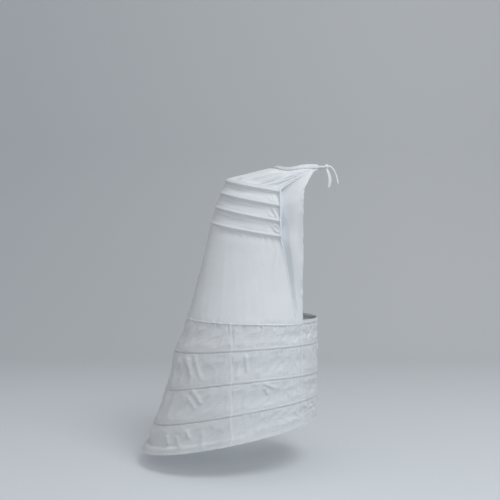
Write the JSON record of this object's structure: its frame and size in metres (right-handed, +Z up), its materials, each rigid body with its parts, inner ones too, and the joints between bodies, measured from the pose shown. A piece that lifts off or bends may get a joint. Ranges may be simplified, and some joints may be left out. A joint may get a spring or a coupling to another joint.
{
  "type": "bustle crinoline petticoat",
  "caption": "Trained bustle crinoline petticoat of white cotton, with tucked half hoops behind the hips, a closed hooped skirt below and a drawstring waistband.",
  "frame": {"origin": "middle of the waist opening, at the drawn tape's level", "axes": "+X towards the wearer's front, +Y towards the wearer's left, +Z up"},
  "size_m": [0.7402, 0.5284, 1.0666],
  "materials": {
    "cotton": "plain woven white cotton",
    "lawn": "thin crisp white lawn with a faint sheen",
    "tape": "twill cotton tape",
    "steel": "flat spring steel with a white coating",
    "crimp": "crimped sheet steel"
  },
  "bodies": {
    "root": {"bustle_top_panel": "cotton", "bustle_tier_1": "cotton", "bustle_tier_2": "cotton", "bustle_tier_3": "cotton", "back_panel": "cotton", "side_panel_right": "cotton", "side_panel_left": "cotton", "waistband": "cotton", "skirt_front_panel": "lawn", "skirt_side_panel_right": "lawn", "skirt_side_panel_left": "lawn", "skirt_back_panel": "lawn", "waist_tape": "tape", "tie_knot": "tape", "tie_tail_right": "tape", "tie_tail_left": "tape", "tie_tape_1": "tape", "tie_tape_2": "tape", "tie_tape_3": "tape", "tie_tape_4": "tape", "hoop_casing_1": "tape", "hoop_casing_2": "tape", "hoop_casing_3": "tape", "hoop_casing_4": "tape", "hoop_casing_5": "tape", "bustle_bone_1": "steel", "bustle_bone_2": "steel", "bustle_bone_3": "steel", "bustle_bone_4": "steel", "skirt_hoop_1": "steel", "skirt_hoop_2": "steel", "skirt_hoop_3": "steel", "skirt_hoop_4": "steel", "skirt_hoop_5": "steel", "bone_tips": "crimp", "hoop_sleeve_1": "crimp", "hoop_sleeve_2": "crimp", "hoop_sleeve_3": "crimp", "hoop_sleeve_4": "crimp", "hoop_sleeve_5": "crimp"}
  },
  "joints": []
}
